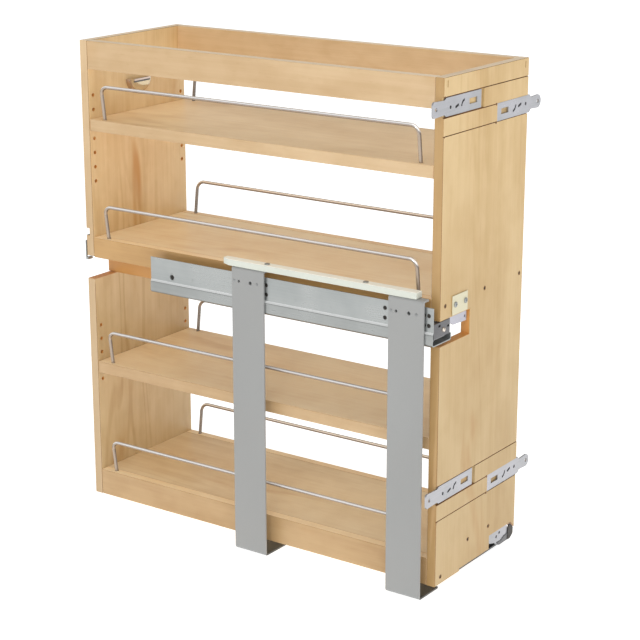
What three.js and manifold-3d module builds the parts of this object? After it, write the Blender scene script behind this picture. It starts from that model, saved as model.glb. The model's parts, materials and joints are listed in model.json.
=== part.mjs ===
// Pull-out pantry organiser for a base cabinet: a narrow four-level wooden carriage that rolls forward
// on two undermount runners. The near runner hangs on two bent steel legs at mid height, the far runner
// lies on the legs' feet at floor level. Millimetres, +Z up, front (door) side towards -Y,
// open near side with the legs towards -X.
import * as THREE from 'three';
import { mergeVertices } from 'three/addons/utils/BufferGeometryUtils.js';
import Module from 'manifold-3d';

const wasm = await Module();
wasm.setup();

// ---- Driving dimensions ----
// x runs from the carriage's near edge, y from its front face and z from its bottom.
const WIDTH = 204;
const DEPTH = 571;
const HEIGHT = 648;
const PANEL = 13; // thickness of end panels, rails and lips
const SHELF = 16; // thickness of every shelf board
const JOINT = 0.1; // hairline between glued boards
const FIT = 0.3; // gap between touching pieces of hardware
const FLOOR_GAP = 14; // carriage bottom above the cabinet floor

const TOP_RAIL_HEIGHT = 38;
const MID_TOP = 377.5; // top faces of the two fixed shelves
const BOTTOM_TOP = 37;
const MID_LIP_HEIGHT = 28;

const NOTCH = { width: 72, low: 318, high: 351 }; // runner notch in both end panels
const FOOT_CUT = { x: 136, high: 23, corner: 10, step: 60, rise: 4 }; // cut for the floor runner

const PIN_ROW_STEP = 19.7;
const PIN_ROWS = { upper: { first: 455.4, count: 7 }, lower: { first: 171.1, count: 5 } };
const PIN_COLUMN_INSET = 9;
const PIN_RADIUS = 2.4;
const PIN_COLLAR = 3.1;
const PIN_HOLE_RADIUS = 2.7;
const PIN_HOLE_DEPTH = 9;
const PIN_REACH = 8; // how far a pin stands out of the panel
const PIN_ABOVE_SHELF_BOTTOM = 8.2;
const shelfTopOnRow = ({ first }, row) => first + row * PIN_ROW_STEP - PIN_ABOVE_SHELF_BOTTOM + SHELF;
const UPPER_TOP = shelfTopOnRow(PIN_ROWS.upper, 4); // the two adjustable shelves, as they are set
const LOWER_TOP = shelfTopOnRow(PIN_ROWS.lower, 1);

const WIRE_RADIUS = 2.4;
const WIRE_HEIGHT = 46; // wire axis above the shelf
const WIRE_LEAN = 7.5; // how far the top leans outward
const WIRE_CORNER = 11;
const WIRE_FOOT = { inset: 8, end: 35, depth: 9 };

const LEG = {
  outer: -20, thickness: 2.5, width: 51, fronts: [11, 252], top: 379.5, flange: 12, footEnd: 202,
};
const STRIP = {
  outer: -20, inner: -6, front: 22, rear: 320, low: 379.8, high: 388.3, leadIn: 12,
  screws: [99, 250], screwLine: -14,
};

const RUNNER_LENGTH = 443;
const SHEET = 1.5; // runner and clip sheet thickness
const CAGE = { front: 130, length: 190, plate: 1, roller: 2, pitch: 14, count: 13 };
const RUNNER_BOARD = { near: 43, far: 55, front: 60 };

const PAD = { near: 27, far: 63, low: 352.5, high: 377, proud: 1.6, screws: [33, 57], screwHeight: 365.5 };
const CUP = { height: 592, radius: 26, depth: 12, wall: 1.5, flattening: 0.85 };

const BRACKET = {
  length: 112, height: 22.5, body: 82, thickness: 2,
  tail: { near: 19.5, far: 17 }, corner: { near: 4, far: 8.5 },
};
const CHANNEL = { height: 23.5, depth: 3, nearEnd: 94, farStart: 127, groove: 1.2, grooveDepth: 1 };
const CHANNEL_LOWS = { upper: 577, lower: 88 }; // bottom of each pair of bracket channels
const BRACKET_REACH = { near: 24, far: 36 }; // how far the bracket tails stand out at the sides

// ---- Materials ----
const maple = new THREE.MeshStandardMaterial({ color: 0xdebe8c, roughness: 0.45, metalness: 0 });
const greySteel = new THREE.MeshStandardMaterial({ color: 0xa6a8a8, roughness: 0.5, metalness: 0.3 });
const zincSteel = new THREE.MeshStandardMaterial({ color: 0xb8bcba, roughness: 0.35, metalness: 0.9 });
const chrome = new THREE.MeshStandardMaterial({ color: 0xd8d8da, roughness: 0.1, metalness: 1 });
const ivory = new THREE.MeshStandardMaterial({ color: 0xe2e0cc, roughness: 0.5, metalness: 0 });

// ---- Solid helpers ----
function toManifold(geometry) {
  const bare = geometry.index ? geometry.toNonIndexed() : geometry.clone();
  bare.deleteAttribute('normal');
  bare.deleteAttribute('uv');
  const merged = mergeVertices(bare, 1e-4);
  return new wasm.Manifold(new wasm.Mesh({
    numProp: 3,
    vertProperties: new Float32Array(merged.attributes.position.array),
    triVerts: new Uint32Array(merged.index.array),
  }));
}

function toGeometry(manifold) {
  const mesh = manifold.getMesh();
  const geometry = new THREE.BufferGeometry();
  geometry.setAttribute('position', new THREE.BufferAttribute(new Float32Array(mesh.vertProperties), 3));
  geometry.setIndex(new THREE.BufferAttribute(new Uint32Array(mesh.triVerts), 1));
  geometry.computeVertexNormals();
  return geometry;
}

function cut(geometry, cutters) {
  let solid = toManifold(geometry);
  for (const cutter of cutters) solid = solid.subtract(toManifold(cutter));
  return toGeometry(solid);
}

function block(x0, x1, y0, y1, z0, z1) {
  const geometry = new THREE.BoxGeometry(x1 - x0, y1 - y0, z1 - z0);
  return geometry.translate((x0 + x1) / 2, (y0 + y1) / 2, (z0 + z1) / 2);
}

// A round bar or drill along x, y or z, from low to high, centred on the two other coordinates.
function rod(axis, radius, low, high, a, b, sides = 10) {
  const geometry = new THREE.CylinderGeometry(radius, radius, high - low, sides);
  const middle = (low + high) / 2;
  if (axis === 'x') return geometry.rotateZ(Math.PI / 2).translate(middle, a, b);
  if (axis === 'z') return geometry.rotateX(Math.PI / 2).translate(a, b, middle);
  return geometry.translate(a, middle, b);
}

function outline(points) {
  return new THREE.Shape(points.map(([a, b]) => new THREE.Vector2(a, b)));
}

// Extrudes an outline drawn in x and z from y0 to y1.
function extrudeAlongY(shape, y0, y1, curveSegments = 6) {
  const geometry = new THREE.ExtrudeGeometry(shape, { depth: y1 - y0, bevelEnabled: false, curveSegments });
  return geometry.rotateX(Math.PI / 2).translate(0, y1, 0);
}

// The outline of bent sheet: the given line on one side, its mitred offset to the left on the other.
function sheetOutline(line, thickness) {
  const points = line.map(([a, b]) => new THREE.Vector2(a, b));
  const offset = points.map((point, i) => {
    const before = i > 0 ? point.clone().sub(points[i - 1]).normalize() : null;
    const after = i < points.length - 1 ? points[i + 1].clone().sub(point).normalize() : null;
    const normals = [before, after].filter(Boolean).map((d) => new THREE.Vector2(-d.y, d.x));
    const mitre = normals.reduce((sum, n) => sum.add(n), new THREE.Vector2()).normalize();
    return point.clone().addScaledVector(mitre, thickness / mitre.dot(normals[0]));
  });
  return new THREE.Shape([...points, ...offset.reverse()]);
}

const parts = new THREE.Group();
// The frame's origin is the middle of the whole object's footprint, on the floor.
parts.position.set(-(WIDTH + BRACKET_REACH.far - BRACKET_REACH.near) / 2, -DEPTH / 2, FLOOR_GAP);

function part(name, geometry, material) {
  const mesh = new THREE.Mesh(geometry, material);
  mesh.name = name;
  parts.add(mesh);
  return mesh;
}

// ---- Wooden end panels ----
function panelOutline() {
  return outline([
    [0, 0], [FOOT_CUT.step, 0], [FOOT_CUT.step, FOOT_CUT.rise], [FOOT_CUT.x, FOOT_CUT.rise],
    [FOOT_CUT.x, FOOT_CUT.high], [WIDTH - FOOT_CUT.corner, FOOT_CUT.high],
    [WIDTH, FOOT_CUT.high - FOOT_CUT.corner],
    [WIDTH, HEIGHT], [0, HEIGHT],
    [0, NOTCH.high], [NOTCH.width, NOTCH.high], [NOTCH.width, NOTCH.low], [0, NOTCH.low],
  ]);
}

function pinHoleDrills(y0, y1) {
  const drills = [];
  for (const { first, count } of Object.values(PIN_ROWS)) {
    for (let row = 0; row < count; row += 1) {
      for (const x of [PIN_COLUMN_INSET, WIDTH - PIN_COLUMN_INSET]) {
        drills.push(rod('y', PIN_HOLE_RADIUS, y0, y1, x, first + row * PIN_ROW_STEP, 8));
      }
    }
  }
  return drills;
}

// Countersunk screw holes into the boards' ends, and the two pilot holes behind each pad.
function screwDrills(y0, y1) {
  const places = [[13, 10], [80, 38], [133, 38], [12, 368], [107, 369.5], [196, 369.5]];
  const pilots = PAD.screws.map((x) => [x, PAD.screwHeight]);
  return [...places, ...pilots].map(([x, z]) => rod('y', 2, y0, y1, x, z, 8));
}

// Two stacked channels: the near bracket's pocket above, the far bracket's below, and fine grooves
// beyond them.
function bracketChannelCutters(low) {
  const middle = low + CHANNEL.height;
  const high = middle + CHANNEL.height;
  const groove = (x0, x1, z) => block(x0, x1, -1, CHANNEL.grooveDepth, z - CHANNEL.groove, z);
  return [
    block(-1, CHANNEL.nearEnd, -1, CHANNEL.depth, middle, high),
    block(CHANNEL.farStart, WIDTH + 1, -1, CHANNEL.depth, low, middle),
    groove(-1, WIDTH + 1, high + CHANNEL.groove),
    groove(-1, CHANNEL.farStart - 1, middle),
    groove(-1, CHANNEL.farStart - 1, low + CHANNEL.groove),
  ];
}

function addPanels() {
  const kerf = { inset: 7, width: 2, depth: 4, low: HEIGHT - 12, high: HEIGHT - 4 };
  const cornerKerfs = [kerf.inset, WIDTH - kerf.inset - kerf.width]
    .map((x) => block(x, x + kerf.width, -1, kerf.depth, kerf.low, kerf.high));
  part('front_panel', cut(extrudeAlongY(panelOutline(), 0, PANEL), [
    ...bracketChannelCutters(CHANNEL_LOWS.upper),
    ...bracketChannelCutters(CHANNEL_LOWS.lower),
    ...pinHoleDrills(PANEL - PIN_HOLE_DEPTH, PANEL + 1),
    ...screwDrills(-1, 6),
    ...cornerKerfs,
  ]), maple);

  const rearFace = DEPTH - PANEL;
  part('rear_panel', cut(extrudeAlongY(panelOutline(), rearFace, DEPTH), [
    ...pinHoleDrills(rearFace - 1, rearFace + PIN_HOLE_DEPTH),
    ...screwDrills(DEPTH - 6, DEPTH + 1),
    block(-1, 40, DEPTH - 6, DEPTH + 1, MID_TOP + 2, MID_TOP + 12), // routed groove behind the mid shelf
  ]), maple);
}

// ---- Boards between the panels ----
const INNER = { y0: PANEL + JOINT, y1: DEPTH - PANEL - JOINT };

function sideBoard(side, low, high) {
  const near = side === 'near' ? 0 : WIDTH - PANEL;
  return block(near, near + PANEL, INNER.y0, INNER.y1, low, high);
}

// Blind holes for the feet of a shelf's two wire rails: the near rail's two, then the far rail's two.
function wireFootDrills(top) {
  const drills = [];
  for (const x of [WIRE_FOOT.inset, WIDTH - WIRE_FOOT.inset]) {
    for (const y of [WIRE_FOOT.end, DEPTH - WIRE_FOOT.end]) {
      drills.push(rod('z', WIRE_RADIUS + FIT, top - WIRE_FOOT.depth - FIT, top + 1, x, y, 10));
    }
  }
  return drills;
}

function addFixedShelf(name, top, lipName, nearLow, farLow) {
  const drills = wireFootDrills(top);
  const board = block(PANEL + JOINT, WIDTH - PANEL - JOINT, INNER.y0, INNER.y1, top - SHELF, top);
  part(name, board, maple);
  part(`${lipName}_near`, cut(sideBoard('near', nearLow, top), drills.slice(0, 2)), maple);
  part(`${lipName}_far`, cut(sideBoard('far', farLow, top), drills.slice(2)), maple);
}

function addCarriageBoards() {
  for (const side of ['near', 'far']) {
    part(`top_rail_${side}`, sideBoard(side, HEIGHT - TOP_RAIL_HEIGHT, HEIGHT), maple);
  }
  addFixedShelf('mid_shelf', MID_TOP, 'mid_lip', MID_TOP - MID_LIP_HEIGHT, MID_TOP - MID_LIP_HEIGHT);
  addFixedShelf('bottom_shelf', BOTTOM_TOP, 'bottom_apron', 0, FOOT_CUT.high);
  // Stiffening board beside the near runner, under the mid shelf; its rear end passes the panel's notch.
  const { near, far, front } = RUNNER_BOARD;
  const board = block(near, far, front, DEPTH, NOTCH.low + 1, MID_TOP - SHELF - JOINT);
  const shoulder = block(near - 1, far + 1, INNER.y1, DEPTH + 1, NOTCH.high - FIT, MID_TOP);
  part('runner_board', cut(board, [shoulder]), maple);
}

// ---- Adjustable shelves on pins ----
function addAdjustableShelf(name, top) {
  const bottom = top - SHELF;
  const endGap = 0.5;
  const recess = { half: PIN_COLLAR + 0.5, high: bottom + PIN_ABOVE_SHELF_BOTTOM + PIN_COLLAR + 0.4 };
  const recesses = [];
  for (const x of [PIN_COLUMN_INSET, WIDTH - PIN_COLUMN_INSET]) {
    for (const y of [PANEL, DEPTH - PANEL]) {
      const reach = PIN_REACH + 1;
      recesses.push(block(x - recess.half, x + recess.half, y - reach, y + reach, bottom - 1, recess.high));
    }
  }
  const board = block(endGap, WIDTH - endGap, PANEL + endGap, DEPTH - PANEL - endGap, bottom, top);
  part(name, cut(board, [...recesses, ...wireFootDrills(top)]), maple);
}

// A stepped support pin: shank in the panel, collar against its face, stub under the shelf.
function pinGeometry(direction) {
  const profile = [
    [0, -7.5], [PIN_RADIUS, -7.5], [PIN_RADIUS, 0.3], [PIN_COLLAR, 0.3], [PIN_COLLAR, 1.3],
    [PIN_RADIUS, 1.3], [PIN_RADIUS, PIN_REACH - 0.5], [PIN_RADIUS - 0.5, PIN_REACH], [0, PIN_REACH],
  ].map(([r, y]) => new THREE.Vector2(r, y));
  const geometry = new THREE.LatheGeometry(profile, 8);
  return direction < 0 ? geometry.rotateZ(Math.PI) : geometry;
}

function addPins(shelfName, top) {
  const z = top - SHELF + PIN_ABOVE_SHELF_BOTTOM;
  const sides = [['near', PIN_COLUMN_INSET], ['far', WIDTH - PIN_COLUMN_INSET]];
  const ends = [['front', PANEL, 1], ['rear', DEPTH - PANEL, -1]];
  for (const [side, x] of sides) {
    for (const [end, y, direction] of ends) {
      const mesh = part(`${shelfName}_pin_${end}_${side}`, pinGeometry(direction), zincSteel);
      mesh.position.set(x, y, z);
    }
  }
}

// ---- Chrome wire rails ----
// A curve through hand-picked stations whose parameter steps from station to station.
class StationCurve extends THREE.Curve {
  constructor(stations) {
    super();
    this.stations = stations;
  }

  getPoint(t, target = new THREE.Vector3()) {
    const place = t * (this.stations.length - 1);
    const index = Math.min(Math.floor(place), this.stations.length - 2);
    return target.copy(this.stations[index]).lerp(this.stations[index + 1], place - index);
  }

  getUtoTmapping(u) {
    return u;
  }

  getTangent(t, target = new THREE.Vector3()) {
    const step = 0.5 / (this.stations.length - 1);
    const after = this.getPoint(Math.min(t + step, 1));
    return target.copy(after).sub(this.getPoint(Math.max(t - step, 0))).normalize();
  }
}

function wireStations() {
  const halfLength = DEPTH / 2 - WIRE_FOOT.end;
  const slope = WIRE_LEAN / WIRE_HEIGHT;
  const leaning = (y, height) => new THREE.Vector3(-height * slope, y, height);
  const corner = [];
  const arcSteps = 5;
  for (let i = 0; i <= arcSteps; i += 1) {
    const angle = (i / arcSteps) * (Math.PI / 2);
    const along = halfLength - WIRE_CORNER * (1 - Math.cos(angle));
    corner.push([along, WIRE_HEIGHT - WIRE_CORNER * (1 - Math.sin(angle))]);
  }
  const foot = [new THREE.Vector3(0, -halfLength, -WIRE_FOOT.depth), new THREE.Vector3(0, -halfLength, 0)];
  const rise = corner.map(([along, height]) => leaning(-along, height));
  const half = [...foot, ...rise];
  const mirrored = half.map((p) => new THREE.Vector3(p.x, -p.y, p.z)).reverse();
  return [...half, ...mirrored];
}

function wireGeometry() {
  const curve = new StationCurve(wireStations());
  const section = new THREE.Shape();
  section.absarc(0, 0, WIRE_RADIUS, 0, Math.PI * 2);
  return new THREE.ExtrudeGeometry(section, {
    steps: curve.stations.length - 1, extrudePath: curve, curveSegments: 4, bevelEnabled: false,
  });
}

function addWireRails(shelfName, top) {
  const near = part(`${shelfName}_wire_near`, wireGeometry(), chrome);
  near.position.set(WIRE_FOOT.inset, DEPTH / 2, top);
  const far = part(`${shelfName}_wire_far`, wireGeometry(), chrome);
  far.rotation.z = Math.PI;
  far.position.set(WIDTH - WIRE_FOOT.inset, DEPTH / 2, top);
}

// ---- Door brackets ----
// Drawn with its tail end at u = 0 and its body reaching inward; v runs up.
function bracketShape(side) {
  const { length, height, body } = BRACKET;
  const half = height / 2;
  const halfTail = BRACKET.tail[side] / 2;
  const corner = BRACKET.corner[side];
  const shoulder = length - body;
  const shape = new THREE.Shape();
  shape.moveTo(corner, -halfTail);
  shape.lineTo(shoulder - 4, -halfTail + 1);
  shape.lineTo(shoulder, -half);
  shape.lineTo(length, -half);
  shape.lineTo(length, half);
  shape.lineTo(shoulder, half);
  shape.lineTo(shoulder - 4, halfTail - 1);
  shape.lineTo(corner, halfTail);
  shape.absarc(corner, halfTail - corner, corner, Math.PI / 2, Math.PI, false);
  shape.absarc(corner, corner - halfTail, corner, Math.PI, Math.PI * 1.5, false);

  const round = (u, v, radius) => {
    const hole = new THREE.Path();
    hole.absarc(u, v, radius, 0, Math.PI * 2, true);
    return hole;
  };
  const slot = (u0, v0, u1, v1, radius) => {
    const hole = new THREE.Path();
    const heading = Math.atan2(v1 - v0, u1 - u0);
    hole.absarc(u0, v0, radius, heading - Math.PI / 2, heading - Math.PI * 1.5, true);
    hole.absarc(u1, v1, radius, heading + Math.PI / 2, heading - Math.PI / 2, true);
    return hole;
  };
  const crescent = new THREE.Path();
  crescent.absarc(74, -4.5, 10, Math.PI * 0.96, Math.PI * 0.55, true);
  crescent.absarc(74, -4.5, 7.2, Math.PI * 0.55, Math.PI * 0.96, false);
  const window = new THREE.Path([[84, -3.5], [84, 3.5], [102, 3.5], [102, -3.5]].map(([u, v]) => (
    new THREE.Vector2(u, v))));
  shape.holes.push(round(8, 0, 2.6), round(40, -1, 2.2), slot(52.5, -2.5, 58, -0.5, 1.6), crescent, window);
  return shape;
}

function addBracket(name, side, channelLow) {
  const geometry = new THREE.ExtrudeGeometry(bracketShape(side), {
    depth: BRACKET.thickness, bevelEnabled: false, curveSegments: 6,
  });
  geometry.rotateX(Math.PI / 2);
  const mesh = part(name, geometry, zincSteel);
  const y = CHANNEL.depth - FIT;
  const z = channelLow + CHANNEL.height / 2;
  if (side === 'near') {
    mesh.position.set(-BRACKET_REACH.near, y, z);
  } else {
    mesh.rotation.y = Math.PI;
    mesh.position.set(WIDTH + BRACKET_REACH.far, y, z);
  }
}

function addBrackets() {
  for (const [pair, low] of Object.entries(CHANNEL_LOWS)) {
    addBracket(`${pair}_door_bracket_near`, 'near', low + CHANNEL.height);
    addBracket(`${pair}_door_bracket_far`, 'far', low);
  }
}

// ---- Legs, spacer strip and runners ----
function addLeg(name, front) {
  const { outer, thickness, top, flange, footEnd, width } = LEG;
  const floor = -FLOOR_GAP;
  const profile = sheetOutline([
    [footEnd, floor], [outer + 3, floor], [outer + 0.9, floor + 0.9], [outer, floor + 3],
    [outer, top - 1], [outer + 0.3, top - 0.3], [outer + 1, top], [outer + flange, top],
  ].reverse(), thickness);
  const rear = front + width;
  const screwHeight = 361;
  const holes = [front + width * 0.42, front + width * 0.78]
    .map((y, i) => rod('x', 2.5 - i, outer - 1, outer + 6, y, screwHeight, 10));
  for (const x of [60, 120, 178]) {
    holes.push(rod('z', 3, floor - 1, floor + 4, x, (front + rear) / 2, 10));
  }
  part(name, cut(extrudeAlongY(profile, front, rear), holes), greySteel);
}

function addSpacerStrip() {
  const { outer, inner, front, rear, low, high, leadIn } = STRIP;
  const shape = outline([
    [outer, front], [inner, front], [inner, rear], [outer + 5, rear], [outer, rear - leadIn],
  ]);
  const body = new THREE.ExtrudeGeometry(shape, { depth: high - low, bevelEnabled: false });
  body.translate(0, 0, low);
  const holes = STRIP.screws.map((y) => rod('z', 2.2, low - 1, high + 1, STRIP.screwLine, y, 10));
  part('spacer_strip', cut(body, holes), ivory);
}

// A plate with a row of rollers across it, between two runner members; z is the rollers' axis.
function addRollerCage(name, x0, x1, z) {
  const { front, length, plate, roller, pitch, count } = CAGE;
  let cage = toManifold(block(x0, x1, front, front + length, z - plate / 2, z + plate / 2));
  const firstRoller = front + (length - (count - 1) * pitch) / 2;
  for (let i = 0; i < count; i += 1) {
    cage = cage.add(toManifold(rod('x', roller, x0 + 2, x1 - 2, firstRoller + i * pitch, z, 10)));
  }
  part(name, toGeometry(cage), ivory);
}

function addNearRunner() {
  const web = { outer: -15.5, shoulder: 340, top: 371 };
  const cabinetLine = [
    [web.outer, web.top], [web.outer, web.shoulder], [web.outer - 1.7, web.shoulder - 2.5],
    [web.outer - 1.7, 326], [-16, 323.5], [-13.5, 322], [24, 322], [26.2, 323], [27, 325.5], [27, 331],
  ];
  const pairs = [6.4, 13.2, 69.5, 251].flatMap((y) => [[y, 348.5], [y, 361]]);
  const webHoles = [...pairs, [406.5, 347.4]]
    .map(([y, z]) => rod('x', 2.2, web.outer - 2, web.outer + 3, y, z, 10));
  const cabinetMember = extrudeAlongY(sheetOutline(cabinetLine, SHEET), 0, RUNNER_LENGTH);
  part('near_cabinet_member', cut(cabinetMember, webHoles), zincSteel);

  const middleLine = [
    [-9.5, 338], [-9.5, 330.2], [-7.5, 328.2], [17.5, 328.2], [19.5, 330.2], [19.5, 341.1], [17.5, 343.1],
    [-1, 343.1], [-1, 338],
  ];
  const middleMember = extrudeAlongY(sheetOutline(middleLine, SHEET), 4, RUNNER_LENGTH - 6);
  part('near_middle_member', middleMember, zincSteel);
  addRollerCage('near_lower_cage', -7.5, 17.5, 325.85);
  addRollerCage('near_upper_cage', 0.5, 17.5, 345.4);

  const drawerLine = [[24, 334], [24, 347.2], [22, 349.2], [-10.5, 349.2], [-12.5, 347.2], [-12.5, 328]];
  const drawerMember = extrudeAlongY(sheetOutline(drawerLine, SHEET), 2, RUNNER_LENGTH - 2);
  part('near_drawer_member', drawerMember, zincSteel);

  const clipLine = [[68, 340], [68, 348], [66.5, 349.5], [26, 349.5], [25, 348.5], [25, 338]];
  const channel = toManifold(extrudeAlongY(sheetOutline(clipLine, SHEET), 3, 46));
  const flangeLine = [[26, 348.5], [26, 343], [30, 341.5], [36, 338], [68, 336.5], [68, 348.5]];
  const frontFlange = toManifold(extrudeAlongY(outline(flangeLine), 3, 3 + SHEET));
  const clip = cut(toGeometry(channel.add(frontFlange)), [
    rod('z', 3, 340, 352, 46, 20, 10),
    rod('y', 1.8, 1, 7, 64, 343, 10),
  ]);
  part('near_locking_clip', clip, zincSteel);
}

function addFarRunner() {
  const feetTop = LEG.thickness - FLOOR_GAP;
  const low = feetTop + FIT;
  const cabinetLine = [[140, 0], [140, low + 1.5], [141.5, low], [198.5, low], [200, low + 1.5], [200, 9]];
  part('far_cabinet_member', extrudeAlongY(sheetOutline(cabinetLine, SHEET), 16, RUNNER_LENGTH), zincSteel);

  const middleLow = low + SHEET + 4.7;
  const middleLine = [
    [148, 4], [148, middleLow + 2], [150, middleLow], [188, middleLow], [190, middleLow + 2],
    [190, 12.5], [188, 14.5], [162, 14.5], [162, 9],
  ];
  part('far_middle_member', extrudeAlongY(sheetOutline(middleLine, SHEET), 18, RUNNER_LENGTH - 6), zincSteel);

  const drawerLine = [[195.5, -4], [195.5, 18.6], [193.5, 20.6], [146, 20.6], [144, 18.6], [144, -4]];
  part('far_drawer_member', extrudeAlongY(sheetOutline(drawerLine, SHEET), 12, RUNNER_LENGTH - 2), zincSteel);
  addRollerCage('far_lower_cage', 151, 187, middleLow - 2.35);
  addRollerCage('far_upper_cage', 164, 187, 16.8);

  const plateLine = [
    [140, 21.5], [140, 9], [157, 4.5], [161, 0.5], [166, -1.5], [195, -1.5], [200, 0], [203, 3.5], [203, 10],
    [192, 13.5], [187, 21.5],
  ];
  const plate = toManifold(extrudeAlongY(outline(plateLine), 2.5, 4.5));
  const tongue = toManifold(block(152, 186, 4, 22, 17, 18.9));
  const clip = cut(toGeometry(plate.add(tongue)), [[168, 16], [160, 12.5]]
    .map(([x, z]) => rod('y', 2.2, 1, 6, x, z, 10)));
  part('far_locking_clip', clip, zincSteel);
}

// ---- Small fittings on the end panels ----
// A pan-head screw along +y, its head's underside at y = 0 and its shank reaching to y = length.
function screwGeometry(length) {
  const head = { radius: 3.6, height: 1.6 };
  const shank = 1.5;
  const profile = [
    [0, -head.height], [head.radius - 1, -head.height], [head.radius, -0.6], [head.radius, 0],
    [shank, 0], [shank, length - 1], [0, length],
  ].map(([r, y]) => new THREE.Vector2(r, y));
  return new THREE.LatheGeometry(profile, 10);
}

// A thin plate on an end panel's outer face with two screws; facing is -1 on the front and 1 on the rear.
function addPad(end, facing) {
  const { near, far, low, high, proud, screws, screwHeight } = PAD;
  const face = facing < 0 ? 0 : DEPTH;
  const [y0, y1] = [face + facing * FIT, face + facing * proud].sort((a, b) => a - b);
  const holes = screws.map((x) => rod('y', 1.9, y0 - 1, y1 + 1, x, screwHeight, 10));
  part(`${end}_pad`, cut(block(near, far, y0, y1, low, high), holes), ivory);
  for (const [i, x] of screws.entries()) {
    const screw = part(`${end}_pad_screw_${i + 1}`, screwGeometry(6), zincSteel);
    if (facing > 0) screw.rotation.z = Math.PI;
    screw.position.set(x, face + facing * (proud + FIT), screwHeight);
  }
}

// Half-moon cup on the rear panel's inner face, flat rim up.
function addCup() {
  const { radius, depth, wall, flattening } = CUP;
  const halfMoon = (r, top) => {
    const shape = new THREE.Shape();
    shape.moveTo(-r, top);
    shape.absellipse(0, top, r, r * flattening, Math.PI, Math.PI * 2, false);
    shape.closePath();
    return shape;
  };
  const face = DEPTH - PANEL - FIT;
  const outer = extrudeAlongY(halfMoon(radius, 0), face - depth, face, 10);
  const inner = extrudeAlongY(halfMoon(radius - wall - 0.5, 1), face - depth + wall, face - wall, 10);
  part('half_moon_cup', cut(outer, [inner]).translate(WIDTH / 2, 0, CUP.height), zincSteel);
}

function addFittings() {
  addPad('front', -1);
  addPad('rear', 1);
  addCup();
  for (const [i, y] of STRIP.screws.entries()) {
    const screw = part(`strip_screw_${i + 1}`, screwGeometry(STRIP.high - STRIP.low - FIT), zincSteel);
    screw.rotation.x = -Math.PI / 2;
    screw.position.set(STRIP.screwLine, y, STRIP.high + FIT);
  }
}

addPanels();
addCarriageBoards();
for (const [name, top] of [['upper_shelf', UPPER_TOP], ['lower_shelf', LOWER_TOP]]) {
  addAdjustableShelf(name, top);
  addPins(name, top);
}
const shelfTops = {
  upper_shelf: UPPER_TOP, mid_shelf: MID_TOP, lower_shelf: LOWER_TOP, bottom_shelf: BOTTOM_TOP,
};
for (const [name, top] of Object.entries(shelfTops)) addWireRails(name, top);
addBrackets();
addLeg('front_leg', LEG.fronts[0]);
addLeg('rear_leg', LEG.fronts[1]);
addSpacerStrip();
addNearRunner();
addFarRunner();
addFittings();

const cart = new THREE.Group();
cart.add(parts);

export default cart;
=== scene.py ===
"""Looks of the pull-out pantry organiser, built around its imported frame. Metres, +Z up."""
import json
import math

import bmesh
import bpy
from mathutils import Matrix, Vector

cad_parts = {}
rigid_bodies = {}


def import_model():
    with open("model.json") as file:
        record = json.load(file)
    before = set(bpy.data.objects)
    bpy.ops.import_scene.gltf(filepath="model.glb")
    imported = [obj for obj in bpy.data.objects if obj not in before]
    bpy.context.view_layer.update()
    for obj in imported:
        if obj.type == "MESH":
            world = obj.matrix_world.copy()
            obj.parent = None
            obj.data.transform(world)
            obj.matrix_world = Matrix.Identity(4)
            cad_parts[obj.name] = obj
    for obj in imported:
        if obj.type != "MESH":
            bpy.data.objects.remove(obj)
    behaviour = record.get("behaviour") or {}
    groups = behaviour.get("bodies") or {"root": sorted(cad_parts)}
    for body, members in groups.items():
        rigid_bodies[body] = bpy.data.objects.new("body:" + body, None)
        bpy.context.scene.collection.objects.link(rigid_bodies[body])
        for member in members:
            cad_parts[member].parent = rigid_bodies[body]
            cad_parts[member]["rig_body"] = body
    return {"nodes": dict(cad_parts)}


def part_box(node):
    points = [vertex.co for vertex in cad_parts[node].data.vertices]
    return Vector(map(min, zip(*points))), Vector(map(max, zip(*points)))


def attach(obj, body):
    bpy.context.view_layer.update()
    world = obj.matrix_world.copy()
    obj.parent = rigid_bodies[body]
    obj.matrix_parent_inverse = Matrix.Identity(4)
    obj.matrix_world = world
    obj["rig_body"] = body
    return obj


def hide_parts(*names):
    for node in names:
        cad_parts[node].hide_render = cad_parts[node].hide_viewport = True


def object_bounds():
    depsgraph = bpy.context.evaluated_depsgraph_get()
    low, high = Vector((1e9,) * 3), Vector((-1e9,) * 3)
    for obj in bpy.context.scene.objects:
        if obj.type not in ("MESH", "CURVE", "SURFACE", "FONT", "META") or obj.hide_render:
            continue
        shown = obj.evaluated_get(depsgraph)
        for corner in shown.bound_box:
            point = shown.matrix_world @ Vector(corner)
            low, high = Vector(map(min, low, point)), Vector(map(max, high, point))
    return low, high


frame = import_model()
cad_low, cad_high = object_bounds()

MM = 0.001
# Pieces are laid out in millimetres off CORNER, the carriage's near, front, bottom corner.
CORNER, FAR_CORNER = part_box("front_panel")
REAR_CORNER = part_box("rear_panel")[1]
WIDTH = (FAR_CORNER.x - CORNER.x) / MM
DEPTH = (REAR_CORNER.y - CORNER.y) / MM
HEIGHT = (FAR_CORNER.z - CORNER.z) / MM
PANEL = (FAR_CORNER.y - CORNER.y) / MM  # thickness of the front and rear panels


def at(x, y, z):
    """A place in the row frame from millimetres off the carriage's corner."""
    return CORNER + Vector((x, y, z)) * MM


def local_box(node):
    """A CAD node's box in millimetres off the carriage's corner."""
    low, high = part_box(node)
    return (low - CORNER) / MM, (high - CORNER) / MM


# ---- Camera ----
def stand(thing, place, direction):
    """Puts a camera or a light in the scene at a place, looking in that direction."""
    thing.location = place
    thing.rotation_mode = "QUATERNION"
    thing.rotation_quaternion = direction.to_track_quat("-Z", "Y")
    bpy.context.scene.collection.objects.link(thing)


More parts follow.
